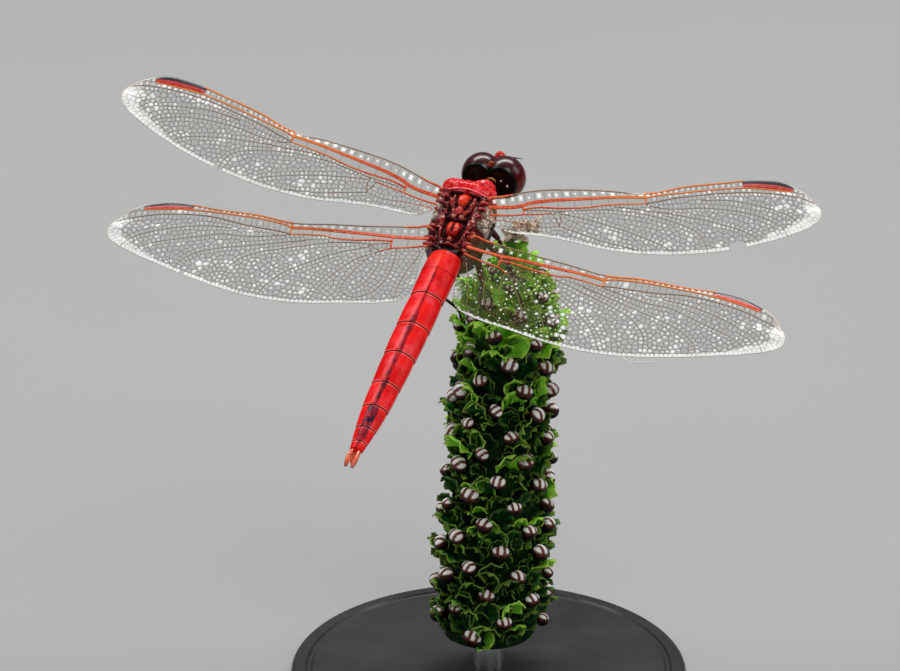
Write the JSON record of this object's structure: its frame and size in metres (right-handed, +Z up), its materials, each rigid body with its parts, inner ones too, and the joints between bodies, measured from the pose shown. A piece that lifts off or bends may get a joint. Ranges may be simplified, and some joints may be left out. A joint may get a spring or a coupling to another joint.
{
  "type": "dragonfly",
  "caption": "Red skimmer dragonfly perched with open wings on the tip of a flower spike, on a small round display stand.",
  "frame": {"origin": "middle of the underside of the stand's round base, where it rests on the floor", "axes": "+Z up; the dragonfly faces -Y with its tail towards +Y, and its own left is towards +X"},
  "size_m": [0.0875, 0.0719, 0.0835],
  "materials": {
    "chitin_red": "bright red insect shell, satin, with a waxy sheen",
    "chitin_dark_red": "dark maroon shell of the back between the wings, glossy",
    "eye_maroon": "very dark maroon compound eye, high gloss",
    "leg_brown": "dark brown limbs, satin, with fine spines",
    "wing_membrane": "clear veined membrane, glossy, with orange-red veins at the leading edge",
    "plant_green": "green bracts of a flower spike, satin leaf surface",
    "bud_brown": "dried pinkish brown buds, matt",
    "stand_black": "black satin paint",
    "stand_steel": "brushed"
  },
  "bodies": {
    "root": {"abdomen_01": "chitin_red", "abdomen_02": "chitin_red", "abdomen_03": "chitin_red", "abdomen_04": "chitin_red", "abdomen_05": "chitin_red", "abdomen_06": "chitin_red", "abdomen_07": "chitin_red", "abdomen_08": "chitin_red", "abdomen_09": "chitin_red", "abdomen_10": "chitin_red", "antenna_left": "leg_brown", "antenna_right": "leg_brown", "cercus_left": "chitin_red", "cercus_right": "chitin_red", "clypeus": "chitin_red", "epiproct": "chitin_red", "eye_left": "eye_maroon", "eye_right": "eye_maroon", "frons": "chitin_red", "head": "chitin_red", "labrum": "chitin_red", "leg_front_left_femur": "leg_brown", "leg_front_left_tarsus": "leg_brown", "leg_front_left_tibia": "leg_brown", "leg_front_right_femur": "leg_brown", "leg_front_right_tarsus": "leg_brown", "leg_front_right_tibia": "leg_brown", "leg_hind_left_femur": "leg_brown", "leg_hind_left_tarsus": "leg_brown", "leg_hind_left_tibia": "leg_brown", "leg_hind_right_femur": "leg_brown", "leg_hind_right_tarsus": "leg_brown", "leg_hind_right_tibia": "leg_brown", "leg_middle_left_femur": "leg_brown", "leg_middle_left_tarsus": "leg_brown", "leg_middle_left_tibia": "leg_brown", "leg_middle_right_femur": "leg_brown", "leg_middle_right_tarsus": "leg_brown", "leg_middle_right_tibia": "leg_brown", "mesonotum": "chitin_dark_red", "metanotum": "chitin_dark_red", "perch_buds": "bud_brown", "perch_spike": "plant_green", "prothorax": "chitin_red", "stand_base": "stand_black", "stand_rod": "stand_steel", "thorax": "chitin_red", "wing_fore_left": "wing_membrane", "wing_fore_right": "wing_membrane", "wing_hind_left": "wing_membrane", "wing_hind_right": "wing_membrane"}
  },
  "joints": []
}
